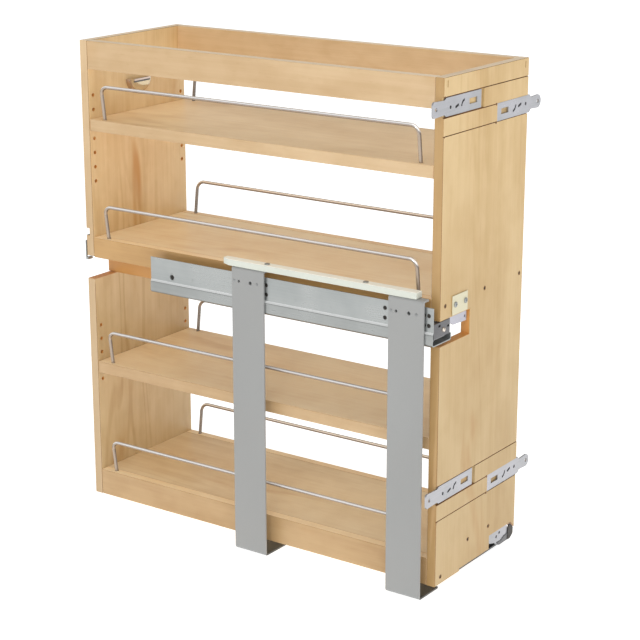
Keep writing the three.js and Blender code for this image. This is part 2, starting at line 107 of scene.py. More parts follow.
def add_camera():
    data = bpy.data.cameras.new("camera")
    data.lens = 102.7
    data.sensor_width = 36
    data.clip_start = 0.05
    data.clip_end = 60
    camera = bpy.data.objects.new("camera", data)
    heading, down = math.radians(55.03), math.radians(16.45)
    forward = Vector((
        math.sin(heading) * math.cos(down), math.cos(heading) * math.cos(down), -math.sin(down),
    ))
    stand(camera, (-1.9315, -1.3833, 0.9944), forward)
    bpy.context.scene.camera = camera


# ---- Node helpers ----
# The Mix node's colour sockets share their names with its other ones, so they are picked by number.
MIX_FACTOR, MIX_A, MIX_B, MIX_RESULT = 0, 6, 7, 2


class Shader:
    """Builds one material's nodes in short calls."""

    def __init__(self, name, **fixed):
        self.material = bpy.data.materials.new(name)
        self.material.use_nodes = True
        self.tree = self.material.node_tree
        self.surface = self.tree.nodes["Principled BSDF"]
        for socket, value in fixed.items():
            self.surface.inputs[socket.replace("_", " ")].default_value = value
        self.place = self.tree.nodes.new("ShaderNodeTexCoord").outputs["Object"]

    def node(self, kind, inputs=(), **settings):
        made = self.tree.nodes.new(f"ShaderNode{kind}")
        for key, value in settings.items():
            setattr(made, key, value)
        for key, value in dict(inputs).items():
            if isinstance(value, bpy.types.NodeSocket):
                self.tree.links.new(value, made.inputs[key])
            else:
                made.inputs[key].default_value = value
        return made

    def stretched(self, scale, offset=(0, 0, 0)):
        return self.node("Mapping", {
            "Vector": self.place, "Scale": scale, "Location": offset,
        }).outputs["Vector"]

    def noise(self, vector, scale=1, detail=2, roughness=0.5, distortion=0):
        return self.node("TexNoise", {
            "Vector": vector, "Scale": scale, "Detail": detail, "Roughness": roughness,
            "Distortion": distortion,
        }).outputs["Fac"]

    def ramp(self, factor, low, high, a=0.0, b=1.0):
        """Maps factor from low..high to a..b, held at both ends."""
        return self.node("MapRange", {
            "Value": factor, "From Min": low, "From Max": high, "To Min": a, "To Max": b,
        }, interpolation_type="SMOOTHSTEP").outputs["Result"]

    def upward(self):
        """How far the surface looks up, from -1 to 1."""
        normal = self.tree.nodes.new("ShaderNodeTexCoord").outputs["Normal"]
        return self.node("SeparateXYZ", {"Vector": normal}).outputs["Z"]

    def mix(self, factor, a, b):
        made = self.node("Mix", {MIX_FACTOR: factor, MIX_A: a, MIX_B: b}, data_type="RGBA")
        return made.outputs[MIX_RESULT]

    def math(self, operation, a, b=0.0):
        return self.node("Math", {0: a, 1: b}, operation=operation).outputs[0]

    def bump(self, height, strength, distance):
        made = self.node("Bump", {"Height": height, "Strength": strength, "Distance": distance})
        self.tree.links.new(made.outputs["Normal"], self.surface.inputs["Normal"])

    def paint(self, colour, roughness=None):
        self.tree.links.new(colour, self.surface.inputs["Base Color"])
        if roughness is not None:
            self.tree.links.new(roughness, self.surface.inputs["Roughness"])
        return self.material


# ---- Colours ----
def srgb(red, green, blue):
    """A colour in 0..255 display values as linear RGBA."""
    def linear(value):
        value /= 255
        return value / 12.92 if value <= 0.04045 else ((value + 0.055) / 1.055) ** 2.4
    return (*map(linear, (red, green, blue)), 1.0)


AMBER = srgb(186, 134, 66)
# Dark grey for the painted shade under zinc parts.
PAINTED_UNDERSIDE_SHADE = srgb(74, 76, 72)
# Each timber has a lighter and a darker tone.
FACE_TONES = srgb(210, 181, 131), srgb(186, 151, 95)
# The rear panel's inner face is painted lighter than the timber, as painted light for the shaded bays.
INNER_LIT_TONES = srgb(224, 196, 150), srgb(192, 156, 104)
EDGE_TONES = srgb(184, 149, 99), srgb(160, 118, 66)
RAIL_TONES = srgb(212, 183, 143), srgb(186, 152, 108)
LOW_EDGE_TONES = srgb(192, 160, 117), srgb(166, 130, 85)
# The shelf tones are painted lighter than the timber, as painted light that makes up for the shade
# inside the bays.
UPPER_SHELF_LIT_TONES = srgb(243, 214, 170), srgb(217, 180, 130)
MID_SHELF_LIT_TONES = srgb(246, 230, 196), srgb(224, 195, 151)
LOW_SHELF_LIT_TONES = srgb(247, 224, 184), srgb(226, 190, 142)
BOTTOM_SHELF_LIT_TONES = srgb(232, 212, 176), srgb(207, 178, 136)
# Walls cut right through a panel, in an orange-brown that paints the shade inside the cut-outs.
CUT_SHADE_TONES = srgb(218, 156, 86), srgb(188, 124, 60)
# Painted shade: the runner board's deep orange, shaded under the mid lip.
RUNNER_BOARD_SHADE_TONES = srgb(192, 140, 78), srgb(160, 110, 56)
# Painted shade: the mid lips' sides in a warmer, darker tone, shaded beside the runner web.
LIP_SHADE_TONES = srgb(194, 154, 100), srgb(168, 127, 76)
FAR_RAIL_TONES = srgb(228, 197, 154), srgb(200, 163, 116)
RIM_TONES = srgb(202, 172, 131), srgb(176, 141, 98)
# Painted light: a paler tone for top edges and rail tops, as lit from above.
LIT_TOP_TONES = srgb(244, 222, 190), srgb(222, 196, 160)


# ---- Materials ----
def axis_scale(grain, along, across):
    return tuple(along if axis == grain else across for axis in "xyz")


def wood(name, grain, light, dark, seed, figure=1.0, painted_shade_by_height=None):
    """Clear-lacquered maple: soft clouds, faint arches, streaks and a little mottling across the fibres.

    The tones by height are painted shade: how light the timber is painted at the foot and at the top of
    the carriage.
    """
    shader = Shader(name, Coat_Weight=0.12, Coat_Roughness=0.25, IOR=1.46)
    offset = (seed * 0.37, seed * 0.23, seed * 0.51)

    def layer(along, across, **settings):
        return shader.noise(shader.stretched(axis_scale(grain, along, across), offset), **settings)

    cloud = shader.ramp(layer(2.6, 8, detail=3, roughness=0.5, distortion=0.4), 0.3, 0.7)
    contours = shader.math("MULTIPLY", layer(1.1, 13, detail=1.5, distortion=0.5), 75)
    arches = shader.ramp(shader.math("SINE", contours), 0.1, 1.0)
    arch_zone = shader.ramp(layer(1.3, 6, detail=1), 0.48, 0.68, 0.0, 0.2 * figure)
    streak = shader.ramp(layer(4, 150, detail=4, roughness=0.62), 0.34, 0.68, -0.07, 0.09)
    mottle = shader.ramp(layer(26, 38, detail=2), 0.35, 0.68, -0.09, 0.11)
    fibre = layer(12, 800, detail=3, roughness=0.65)
    fleck = shader.ramp(layer(60, 420, detail=1), 0.66, 0.74, 0.0, 0.12)
    shade = shader.math("MULTIPLY", cloud, 0.55)
    for part in (shader.math("MULTIPLY", arches, arch_zone), streak, mottle, fleck):
        shade = shader.math("ADD", shade, part)
    shade = shader.math("ADD", shade, shader.ramp(fibre, 0.3, 0.7, -0.04, 0.06))
    amber = shader.ramp(layer(3.5, 13, detail=2.5, distortion=1.2), 0.6, 0.8, 0.0, 0.42 * figure)
    colour = shader.mix(amber, shader.mix(shade, light, dark), AMBER)
    # Painted shade: the timber is painted darker towards the carriage's foot than at its top.
    if painted_shade_by_height:
        foot_z, top_z = 0.1, 0.65
        height = shader.node("SeparateXYZ", {"Vector": shader.place}).outputs["Z"]
        level = shader.ramp(height, foot_z, top_z, *painted_shade_by_height)
        colour = shader.node("HueSaturation", {"Color": colour, "Value": level}).outputs["Color"]
    shader.bump(shader.math("ADD", fibre, streak), 0.1, 0.0003)
    return shader.paint(colour, shader.ramp(fibre, 0.3, 0.7, 0.38, 0.5))


def recess_shade_wood():
    """Painted shade: dark wood at the bottoms and walls of grooves and holes."""
    shader = Shader("maple_recess_shade", Roughness=0.7)
    shade_mottle = shader.noise(shader.stretched((60, 60, 60)), detail=3)
    return shader.paint(shader.mix(shade_mottle, srgb(134, 90, 44), srgb(88, 54, 24)))


def painted_steel(name, light, dark, gleam):
    """Satin grey powder coat with a very fine orange peel."""
    shader = Shader(name, IOR=1.5, Coat_Weight=0.1, Coat_Roughness=0.3)
    peel = shader.noise(shader.stretched((1, 1, 1)), scale=900, detail=2)
    cloud = shader.noise(shader.stretched((6, 6, 2.5)), detail=3)
    speck = shader.noise(shader.stretched((1, 1, 1)), scale=2600, detail=0)
    colour = shader.mix(shader.ramp(cloud, 0.3, 0.7), light, dark)
    colour = shader.mix(shader.ramp(speck, 0.62, 0.8, 0, 0.2), colour, gleam)
    shader.bump(peel, 0.08, 0.0002)
    return shader.paint(colour, shader.ramp(cloud, 0.3, 0.7, 0.4, 0.5))


def zinc(name, light, dark, along="y", metallic=0.72):
    """Zinc plate on pressed sheet: rolling marks, soft clouds and dull spots, with painted shade on
    faces that look down.
    """
    shader = Shader(name, Metallic=metallic, IOR=1.5)
    rolled = shader.noise(shader.stretched(axis_scale(along, 5, 900)), detail=3, roughness=0.6)
    cloud = shader.noise(shader.stretched((14, 14, 14)), detail=3, roughness=0.55)
    spot = shader.noise(shader.stretched((1, 1, 1)), scale=300, detail=2)
    tone = shader.ramp(cloud, 0.3, 0.7, 0, 0.5)
    tone = shader.math("ADD", tone, shader.ramp(rolled, 0.3, 0.7, -0.05, 0.2))
    tone = shader.math("ADD", tone, shader.ramp(spot, 0.64, 0.76, 0, 0.25))
    shader.bump(rolled, 0.02, 0.0001)
    colour = shader.mix(tone, light, dark)
    # Painted shade: faces that look down are mixed towards dark grey.
    colour = shader.mix(shader.ramp(shader.upward(), -0.1, -0.7, 0, 0.5), colour, PAINTED_UNDERSIDE_SHADE)
    return shader.paint(colour, shader.ramp(tone, 0, 1, 0.27, 0.38))


def chrome():
    """Bright chrome wire with painted reflections: a painted white highlight along the upper side,
    painted darker bands beside it, and a painted warm reflection of the wood below.
    """
    shader = Shader("chrome_wire", Metallic=0.4)
    upward = shader.upward()
    drawn = shader.noise(shader.stretched((1500, 14, 1500)), detail=2)
    smear = shader.noise(shader.stretched((30, 12, 30)), detail=3)
    # Painted highlight: a white line on faces that look partly up.
    rise = shader.ramp(upward, 0.1, 0.3)
    fall = shader.ramp(upward, 0.7, 0.95, 0, 0.7)
    line = shader.math("SUBTRACT", rise, fall)
    # Painted reflections: darker bands on the sides and warm wood underneath.
    band = shader.mix(shader.ramp(smear, 0.35, 0.7), srgb(150, 143, 138), srgb(124, 117, 112))
    painted_warm_reflection = shader.mix(shader.ramp(upward, -0.75, -0.2), srgb(112, 96, 80), srgb(178, 160, 142))
    colour = shader.mix(shader.ramp(upward, -0.2, 0.02), painted_warm_reflection, band)
    colour = shader.mix(line, colour, srgb(252, 251, 251))
    shader.bump(drawn, 0.03, 0.0001)
    return shader.paint(colour, shader.ramp(smear, 0.3, 0.7, 0.1, 0.18))


def polished(name, light, dark, metallic=1.0):
    """Mirror-bright plated shell, tinted warm as a painted reflection of the wood round it."""
    shader = Shader(name, Metallic=metallic)
    smear = shader.noise(shader.stretched((40, 40, 40)), detail=3)
    colour = shader.mix(smear, light, dark)
    return shader.paint(colour, shader.ramp(smear, 0.3, 0.7, 0.05, 0.14))


def plastic(name, light, dark):
    """Satin moulded plastic with a fine spark-eroded grain."""
    shader = Shader(name, IOR=1.49)
    grain = shader.noise(shader.stretched((1, 1, 1)), scale=1400, detail=2)
    cloud = shader.noise(shader.stretched((14, 14, 14)), detail=3)
    shader.bump(grain, 0.12, 0.0002)
    return shader.paint(shader.mix(cloud, light, dark), shader.ramp(grain, 0.3, 0.7, 0.42, 0.55))


def dark_steel():
    """Blackened steel of screw recesses, also used for the dark plates behind the door brackets' slots.
    """
    shader = Shader("dark_steel", Metallic=0.7)
    cloud = shader.noise(shader.stretched((90, 90, 90)), detail=3)
    colour = shader.mix(cloud, srgb(48, 46, 44), srgb(84, 80, 76))
    return shader.paint(colour, shader.ramp(cloud, 0.3, 0.7, 0.35, 0.55))


# ---- Mesh helpers ----
SMOOTH_BELOW = math.radians(32)
SHARP_ABOVE = math.radians(40)
FLAT_WITHIN = math.radians(0.5)
FACING = 0.7  # a face looks along an axis when its normal reaches further than this
ACROSS_AND_ALONG = {"x": (1, 2, 0), "y": (2, 0, 1), "z": (0, 1, 2)}
BLOCK_SIDES = ((0, 2, 3, 1), (4, 5, 7, 6), (0, 1, 5, 4), (2, 6, 7, 3), (0, 4, 6, 2), (1, 3, 7, 5))


def show(name, bm, materials, body, replaces=()):
    """Makes the piece from a bmesh, smooths its rounded parts and hangs it on its body."""
    mesh = bpy.data.meshes.new(name)
    bmesh.ops.recalc_face_normals(bm, faces=bm.faces)
    bm.to_mesh(mesh)
    bm.free()
    for material in materials:
        mesh.materials.append(material)
    mesh.polygons.foreach_set("use_smooth", [True] * len(mesh.polygons))
    mesh.set_sharp_from_angle(angle=SMOOTH_BELOW)
    piece = bpy.data.objects.new(name, mesh)
    bpy.context.scene.collection.objects.link(piece)
    weighted = piece.modifiers.new("even_normals", "WEIGHTED_NORMAL")
    weighted.keep_sharp = True
    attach(piece, body)
    if replaces:
        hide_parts(*replaces)


def body_of(node):
    return frame["nodes"][node]["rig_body"]


def cad_bmesh(node):
    """The CAD node's own shape with its flat faces made whole again."""
    bm = bmesh.new()
    bm.from_mesh(frame["nodes"][node].data)
    bmesh.ops.remove_doubles(bm, verts=bm.verts, dist=2e-6)
    bmesh.ops.dissolve_limit(bm, angle_limit=FLAT_WITHIN, verts=bm.verts, edges=bm.edges)
    return bm


def ease(bm, at_least, width, segments=2, keep=lambda middle, along: True):
    """Rounds over sharp outer edges at least so long, if keep agrees to their middle and direction."""
    chosen = []
    for edge in bm.edges:
        sharp = len(edge.link_faces) == 2 and edge.calc_face_angle(0) > SHARP_ABOVE
        if sharp and edge.is_convex and edge.calc_length() >= at_least * MM:
            start, end = (vert.co for vert in edge.verts)
            if keep(((start + end) / 2 - CORNER) / MM, (end - start).normalized()):
                chosen.append(edge)
    bmesh.ops.bevel(
        bm, geom=chosen, offset=width * MM, segments=segments, profile=0.5,
        affect="EDGES", clamp_overlap=True,
    )


def middle_of(face):
    """A face's middle in millimetres off the carriage's corner."""
    return (face.calc_center_median() - CORNER) / MM


def paint_faces(bm, finish):
    """Gives each face the number of the material that finish picks for it."""
    for face in bm.faces:
        face.material_index = finish(face)


def bridge(bm, low, high):
    """Joins two loops of equally many points with a band of faces."""
    for i in range(len(low)):
        j = (i + 1) % len(low)
        bm.faces.new([low[i], low[j], high[j], high[i]])


def add_block(bm, low, high, material=0):
    """A box from its low corner to its high corner."""
    verts = []
    for bits in range(8):
        corner = [high[i] if bits >> i & 1 else low[i] for i in range(3)]
        verts.append(bm.verts.new(at(*corner)))
    for side in BLOCK_SIDES:
        bm.faces.new([verts[i] for i in side]).material_index = material


def off_axis(axis, centre, u, v, height):
    """A place u and v across a signed axis such as "-y" and height along it, from centre."""
    a, b, c = ACROSS_AND_ALONG[axis[-1]]
    place = list(centre)
    place[a] += u
    place[b] += v
    place[c] += -height if axis.startswith("-") else height
    return at(*place)


def lathe(bm, axis, centre, profile, sides=32, material=0):
    """Turns (radius, height) points round an axis; heights run along the signed axis from centre."""
    rings = []
    for radius, height in profile:
        ring = []
        for i in range(sides if radius else 1):
            angle = 2 * math.pi * i / sides
            u, v = radius * math.cos(angle), radius * math.sin(angle)
            ring.append(bm.verts.new(off_axis(axis, centre, u, v, height)))
        rings.append(ring)
    for low, high in zip(rings, rings[1:]):
        for i in range(sides):
            j = (i + 1) % sides
            corners = [low[i % len(low)], low[j % len(low)], high[j % len(high)], high[i % len(high)]]
            unique = list(dict.fromkeys(corners))
            if len(unique) > 2:
                bm.faces.new(unique).material_index = material


def fillet(points, steps=5):
    """Rounds a polyline's corners. Each point is (a, b) or (a, b, radius)."""
    line = []
    for i, point in enumerate(points):
        here = Vector(point[:2])
        if len(point) < 3 or i in (0, len(points) - 1):
            line.append(here)
            continue
        back = (Vector(points[i - 1][:2]) - here).normalized()
        ahead = (Vector(points[i + 1][:2]) - here).normalized()
        opening = back.angle(ahead)
        reach = point[2] / math.tan(opening / 2)
        centre = here + (back + ahead).normalized() * point[2] / math.sin(opening / 2)
        start, end = here + back * reach - centre, here + ahead * reach - centre
        sweep_angle = start.angle(end)
        turn = 1 if start.cross(end) > 0 else -1
        for k in range(steps + 1):
            angle = turn * sweep_angle * k / steps
            line.append(centre + Vector((
                start.x * math.cos(angle) - start.y * math.sin(angle),
                start.x * math.sin(angle) + start.y * math.cos(angle),
            )))
    return line


def offset_line(line, thickness):
    """The other side of sheet of that thickness, laid to the left of a line."""
    offset = []
    for i, here in enumerate(line):
        sides = []
        if i > 0:
            sides.append((here - line[i - 1]).normalized())
        if i < len(line) - 1:
            sides.append((line[i + 1] - here).normalized())
        normals = [Vector((-d.y, d.x)) for d in sides]
        mitre = sum(normals, Vector((0, 0))).normalized()
        offset.append(here + mitre * thickness / mitre.dot(normals[0]))
    return offset


def bent_sheet(bm, points, thickness, y0, y1):
    """Sheet bent along an (x, z) line and running from y0 to y1, with its rims slightly broken."""
    inner = fillet(points)
    outer = offset_line(inner, thickness)
    rim = 0.15
    loops = []
    for y, inset in ((y0, rim), (y0 + rim, 0), (y1 - rim, 0), (y1, rim)):
        share = inset / thickness
        near = [a.lerp(b, share) for a, b in zip(inner, outer)]
        far = [b.lerp(a, share) for a, b in zip(inner, outer)]
        loops.append([bm.verts.new(at(p.x, y, p.y)) for p in near + far[::-1]])
    for first, second in zip(loops, loops[1:]):
        bridge(bm, first, second)
    for loop in (loops[0], loops[-1]):
        for i in range(len(inner) - 1):
            bm.faces.new([loop[i], loop[i + 1], loop[-2 - i], loop[-1 - i]])


def cut(bm, cutters):
    """Takes closed cutter meshes out of bm with one exact boolean and returns the new bmesh."""
    made = []
    for name, source in (("cut_target", bm), ("cut_tools", cutters)):
        bmesh.ops.recalc_face_normals(source, faces=source.faces)
        mesh = bpy.data.meshes.new(name)
        source.to_mesh(mesh)
        source.free()
        thing = bpy.data.objects.new(name, mesh)
        bpy.context.scene.collection.objects.link(thing)
        made.append(thing)
    target, tools = made
    boolean = target.modifiers.new("cut", "BOOLEAN")
    boolean.operation = "DIFFERENCE"
    boolean.solver = "EXACT"
    boolean.object = tools
    evaluated = target.evaluated_get(bpy.context.evaluated_depsgraph_get())
    result = bmesh.new()
    result.from_mesh(evaluated.to_mesh())
    evaluated.to_mesh_clear()
    for thing in made:
        mesh = thing.data
        bpy.data.objects.remove(thing)
        bpy.data.meshes.remove(mesh)
    return result


def drill(cutters, axis, radius, low, high, centre, flare=0.3):
    """A round cutter from low to high along axis, flared at both ends to break the hole's rims."""
    wide = radius + flare
    lathe(cutters, axis, centre, [
        (0, low), (wide, low), (wide, low + 0.001), (radius, low + flare),
        (radius, high - flare), (wide, high - 0.001), (wide, high), (0, high),
    ], 28)


# ---- Wooden boards ----
BOARD_RIM = 0.9
PLAIN = 0.6  # figure of the timber in narrow faces
FACE, EDGE, CUT, RECESS_SHADE, LIT_TOP = range(5)
CHANNEL_DEPTH = 3  # of the routed channels that take the door brackets
RIM_REACH = 1.2  # a face's middle this close to a panel's outline makes it part of the edge
THROUGH = 9  # a wall deeper than this is cut right through a panel


def add_board(node, seed, tones, edges=RAIL_TONES):
    """A board along the carriage, with its long faces towards the sides in a tone of their own."""
    bm = cad_bmesh(node)
    ease(bm, 8, BOARD_RIM, 3)
    paint_faces(bm, lambda face: 1 if abs(face.normal.x) > FACING else 0)
    materials = [
        wood(f"maple_{node}", "y", *tones, seed), wood(f"maple_{node}_edge", "y", *edges, seed + 2),
    ]
    show(f"{node}_wood", bm, materials, body_of(node), [node])


def add_boards():
    rail_faces = {"near": RAIL_TONES, "far": FAR_RAIL_TONES}
    for i, side in enumerate(("near", "far")):
        # The rails' tops take painted light.
        add_board(f"top_rail_{side}", 3 + 5 * i, LIT_TOP_TONES, rail_faces[side])
        # The lips' sides take painted shade.
        add_board(f"mid_lip_{side}", 14 + 5 * i, LOW_SHELF_LIT_TONES, LIP_SHADE_TONES)
        add_board(f"bottom_apron_{side}", 25 + 5 * i, LOW_SHELF_LIT_TONES, LOW_EDGE_TONES)
    add_board("upper_shelf", 40, UPPER_SHELF_LIT_TONES)
    add_board("mid_shelf", 43, MID_SHELF_LIT_TONES)
    add_board("lower_shelf", 46, LOW_SHELF_LIT_TONES, RIM_TONES)
    add_board("bottom_shelf", 49, BOTTOM_SHELF_LIT_TONES)
    # The runner board takes painted shade all over.
    add_board("runner_board", 60, RUNNER_BOARD_SHADE_TONES, RUNNER_BOARD_SHADE_TONES)


def panel_finish(face, outer_y, inner_y):
    """Which of a panel's five finishes a face takes, from where it lies and which way it looks."""
    middle = middle_of(face)
    if abs(face.normal.y) > FACING:
        on_skin = min(abs(middle.y - outer_y), abs(middle.y - inner_y)) < 0.2
        in_channel = abs(abs(middle.y - outer_y) - CHANNEL_DEPTH) < 0.2
        # Groove bottoms take painted shade.
        return FACE if on_skin or in_channel else RECESS_SHADE
    # A panel's top edge takes painted light.
    if middle.z > HEIGHT - RIM_REACH:
        return LIT_TOP
    if middle.x < RIM_REACH or middle.x > WIDTH - RIM_REACH or middle.z < RIM_REACH:
        return EDGE
    ys = [vert.co.y / MM for vert in face.verts]
    # Walls cut right through take painted shade.
    if max(ys) - min(ys) > THROUGH:
        return CUT
    # Walls that look sideways keep the face tone; other walls take painted shade.
    return FACE if abs(face.normal.x) > FACING else RECESS_SHADE


def on_outline(middle, along):
    """Whether a panel's edge belongs to its outline and not to a groove routed across it."""
    routed = abs(along.x) > 0.9 and 1 < middle.z < HEIGHT - 1
    return not routed


def add_panel(node, seed, outer_y, inner_y, tones, figure, painted_shade_by_height, edge_painted_shade_by_height=None):
    """A panel in its five finishes; tones are those of its faces and those of its edges."""
    bm = cad_bmesh(node)
    ease(bm, 24, BOARD_RIM, 3, on_outline)
    paint_faces(bm, lambda face: panel_finish(face, outer_y, inner_y))
    face_tones, edge_tones = tones
    materials = [
        wood(f"maple_{node}", "z", *face_tones, seed, figure, painted_shade_by_height),
        wood(f"maple_{node}_edge", "z", *edge_tones, seed + 5, PLAIN, edge_painted_shade_by_height),
        wood(f"maple_{node}_cut", "z", *CUT_SHADE_TONES, seed + 9, PLAIN),
        RECESS_SHADE_WOOD,
        wood(f"maple_{node}_lit_top", "x", *LIT_TOP_TONES, seed + 13, PLAIN),
    ]
    show(f"{node}_wood", bm, materials, body_of(node), [node])


# ---- Screws ----
PANEL_SCREWS = ((13, 10), (80, 38), (133, 38), (12, 368), (107, 369.5), (196, 369.5))
# A thin ring of painted shade inside each countersink.
COUNTERSINK_SHADE_RING = ((1.96, -0.4), (2.8, -0.2), (2.9, 0.03), (2.0, 0.03), (1.96, -0.4))
QUARTER_TURNS = ((1, 0), (0, 1), (-1, 0), (0, -1))


def cross_recess(cutters, axis, centre, size, top, depth):
    """A plus-shaped prism that sinks a drive recess into a head with its top at that height."""
    arm = size / 4
    outline = []
    for cosine, sine in QUARTER_TURNS:
        for u, v in ((size, -arm), (size, arm), (arm, arm)):
            outline.append((u * cosine - v * sine, u * sine + v * cosine))
    low, high = (
        [cutters.verts.new(off_axis(axis, centre, u, v, height)) for u, v in outline]
        for height in (top - depth, top + 1)
    )
    bridge(cutters, low, high)
    cutters.faces.new(low[::-1])
    cutters.faces.new(high)


def pan_head(bm, cutters, axis, centre, reach):
    """A domed screw head above centre with its shank reaching below, and the cutter for its drive."""
    radius, height, shank = 3.6, 1.6, 1.4
    lathe(bm, axis, centre, [
        (0, -reach), (shank, -reach + 1), (shank, 0), (radius, 0), (radius, 0.45 * height),
        (radius * 0.86, 0.78 * height), (radius * 0.6, 0.95 * height), (0, height),
    ], 28)
    cross_recess(cutters, axis, centre, radius * 0.55, height, 0.7 * height)


def sunk_head(bm, cutters, axis, centre, radius=1.9, below=0.5):
    """A flat screw head sunk below centre with its shank, and the cutter for its drive."""
    shank = 1.1
    lathe(bm, axis, centre, [
        (0, -5), (shank, -4.5), (shank, -below - 1.2),
        (radius, -below - 0.2), (radius, -below), (0, -below),
    ], 24)
    cross_recess(cutters, axis, centre, radius * 0.6, -below, 0.7)


def add_screw(node, axis, centre, reach):
    bm, cutters = bmesh.new(), bmesh.new()
    pan_head(bm, cutters, axis, centre, reach)
    show(f"{node}_finished", cut(bm, cutters), [ZINC], body_of(node), [node])


def add_panel_screws(name, axis, face_y):
    """Countersunk screws into the boards' ends, and dark rings of painted shade in the countersinks
    round them.
    """
    heads, cutters, rims = bmesh.new(), bmesh.new(), bmesh.new()
    for x, z in PANEL_SCREWS:
        sunk_head(heads, cutters, axis, (x, face_y, z))
        lathe(rims, axis, (x, face_y, z), COUNTERSINK_SHADE_RING, 28)
    show(f"{name}_screws", cut(heads, cutters), [DARK_STEEL], "carriage")
    show(f"{name}_countersink_shade", rims, [RECESS_SHADE_WOOD], "carriage")


def add_groove_end_pit_shade():
    """The pits where each pair of brackets' grooves start and stop, painted dark as their shade."""
    pits = bmesh.new()
    start_x, stop_x = 2.2, 124.5
    small, large = 1.1, 1.8
    for pair in ("upper", "lower"):
        low, high = local_box(f"{pair}_door_bracket_near")
        top = high.z + 1.35
        middle = low.z - 1.35
        bottom = middle - (high.z - low.z) - 0.2
        for x, z, radius in (
            (start_x, top, small), (stop_x, middle, large),
            (stop_x, bottom, large), (start_x, bottom, small),
        ):
            profile = [(0, -1.2), (radius - 0.1, -1.2), (radius, 0.03), (0, 0.03)]
            lathe(pits, "-y", (x, 0, z), profile, 20)
    show("groove_ends", pits, [RECESS_SHADE_WOOD], "carriage")


# ---- Wire rails ----
WIRE_RADIUS = 2.4


def sweep(bm, line, radius, sides=16):
    """A round bar along points in row-frame metres, closed at both ends."""
    angles = [2 * math.pi * k / sides for k in range(sides)]
    rings = []
    side = Vector((1, 0, 0))
    for i, here in enumerate(line):
        ahead = (line[min(i + 1, len(line) - 1)] - line[max(i - 1, 0)]).normalized()
        side = (side - ahead * side.dot(ahead)).normalized()
        up = ahead.cross(side)
        rings.append([
            bm.verts.new(here + (side * math.cos(a) + up * math.sin(a)) * radius * MM) for a in angles
        ])
    for low, high in zip(rings, rings[1:]):
        bridge(bm, low, high)
    bm.faces.new(rings[0][::-1])
    bm.faces.new(rings[-1])


def add_wire(node, side):
    """A chrome rail on two long feet, which leans outward as it rises from the shelf."""
    low, high = local_box(node)
    foot_x = high.x - WIRE_RADIUS if side == "near" else low.x + WIRE_RADIUS
    top_x = low.x + WIRE_RADIUS if side == "near" else high.x - WIRE_RADIUS
    top_z = high.z - WIRE_RADIUS
    shelf_z = top_z - 46
    hole_z = low.z + 0.3
    front, rear = low.y + WIRE_RADIUS, high.y - WIRE_RADIUS
    lean = (top_x - foot_x) / (top_z - shelf_z)
    line = []
    for point in fillet([(front, hole_z), (front, top_z, 11), (rear, top_z, 11), (rear, hole_z)], 10):
        x = foot_x + lean * max(0.0, point.y - shelf_z)
        line.append(at(x, point.x, point.y))
    # Two more rings near each end divide the long straight feet.
    first = [line[0], line[0].lerp(line[1], 0.16), line[0].lerp(line[1], 0.2)]
    last = [line[-1].lerp(line[-2], 0.2), line[-1].lerp(line[-2], 0.16), line[-1]]
    bm = bmesh.new()
    sweep(bm, first + line[1:-1] + last, WIRE_RADIUS)
    show(f"{node}_chrome", bm, [CHROME], body_of(node), [node])


# ---- Steel base ----
STRAP = 2.5
LEG_SCREW_Z = 361
FOOT_SETBACK = 7
RIVET = ((0, -1), (1.9, -1), (1.9, 0.12), (1.5, 0.3), (0, 0.3))


def add_leg(node):
    """A leg bent from one strap, with its holes, the small setback of its foot, painted shade on its
    foot plate, and its rivets.
    """
    low, high = local_box(node)
    line = [(low.x + 12, high.z), (low.x, high.z, 3.2), (low.x, low.z, 4.2), (high.x, low.z)]
    bm, cutters = bmesh.new(), bmesh.new()
    bent_sheet(bm, line, STRAP, low.y, high.y)
    for y, radius in ((21.4, 2.5), (39.8, 1.9)):
        drill(cutters, "x", radius, -1, 4, (low.x, low.y + y, LEG_SCREW_Z))
    for x in (60, 120, 178):
        drill(cutters, "z", 3, -1, 4, (x, (low.y + high.y) / 2, low.z))
    add_block(cutters, (26, low.y - 1, low.z - 1), (high.x + 1, low.y + FOOT_SETBACK, low.z + 4))
    bm = cut(bm, cutters)

    # Painted shade: the foot plate's faces take a near-black steel.
    def shaded_foot(face):
        in_foot = middle_of(face).z < low.z + STRAP + 0.2
        return 1 if in_foot and abs(face.normal.x) < 0.6 else 0

    paint_faces(bm, shaded_foot)
    show(f"{node}_steel", bm, [PAINT, SHADED_STEEL], body_of(node), [node])
    rivets = bmesh.new()
    for y in (10.5, 47):
        lathe(rivets, "-x", (low.x, low.y + y, LEG_SCREW_Z), RIVET, 24)
    show(f"{node}_rivets", rivets, [INNER_ZINC], body_of(node))


def add_strip():
    """The spacer strip on the legs' top flanges, with painted light on top, and its two screws."""
    node = "spacer_strip"
    bm = cad_bmesh(node)
    ease(bm, 5, 1.0, 3)
    # Painted light: the top faces take a paler plastic.
    paint_faces(bm, lambda face: 1 if face.normal.z > FACING else 0)
    show(f"{node}_moulding", bm, [STRIP_SIDE, STRIP_LIT_TOP], body_of(node), [node])
    top = local_box(node)[1].z
    for i, y in enumerate((99, 250)):
        add_screw(f"strip_screw_{i + 1}", "z", (-14, y, top + 0.3), reach=7)


# ---- Runners ----
SHEET = 1.5
WEB_X = -15.5
WEB_EYELET = (WEB_X, 406.5, 347.4)
EYELET_RIM = ((3.5, -0.5), (3.9, 0.35), (4.8, 0.35), (5.4, -0.5))
DIMPLE = ((0, 0.2), (1.2, 0.2), (1.7, -0.2), (0, -0.3))


def web_finish(face):
    """The near web's zinc, with a painted highlight on the shoulder where it bends and painted shade on
    the bulge below.
    """
    place = middle_of(face)
    outer = place.x < -13 and face.normal.x < -0.3
    if not outer or place.z > 340.4:
        return 0
    return 1 if place.z > 337.6 else 2


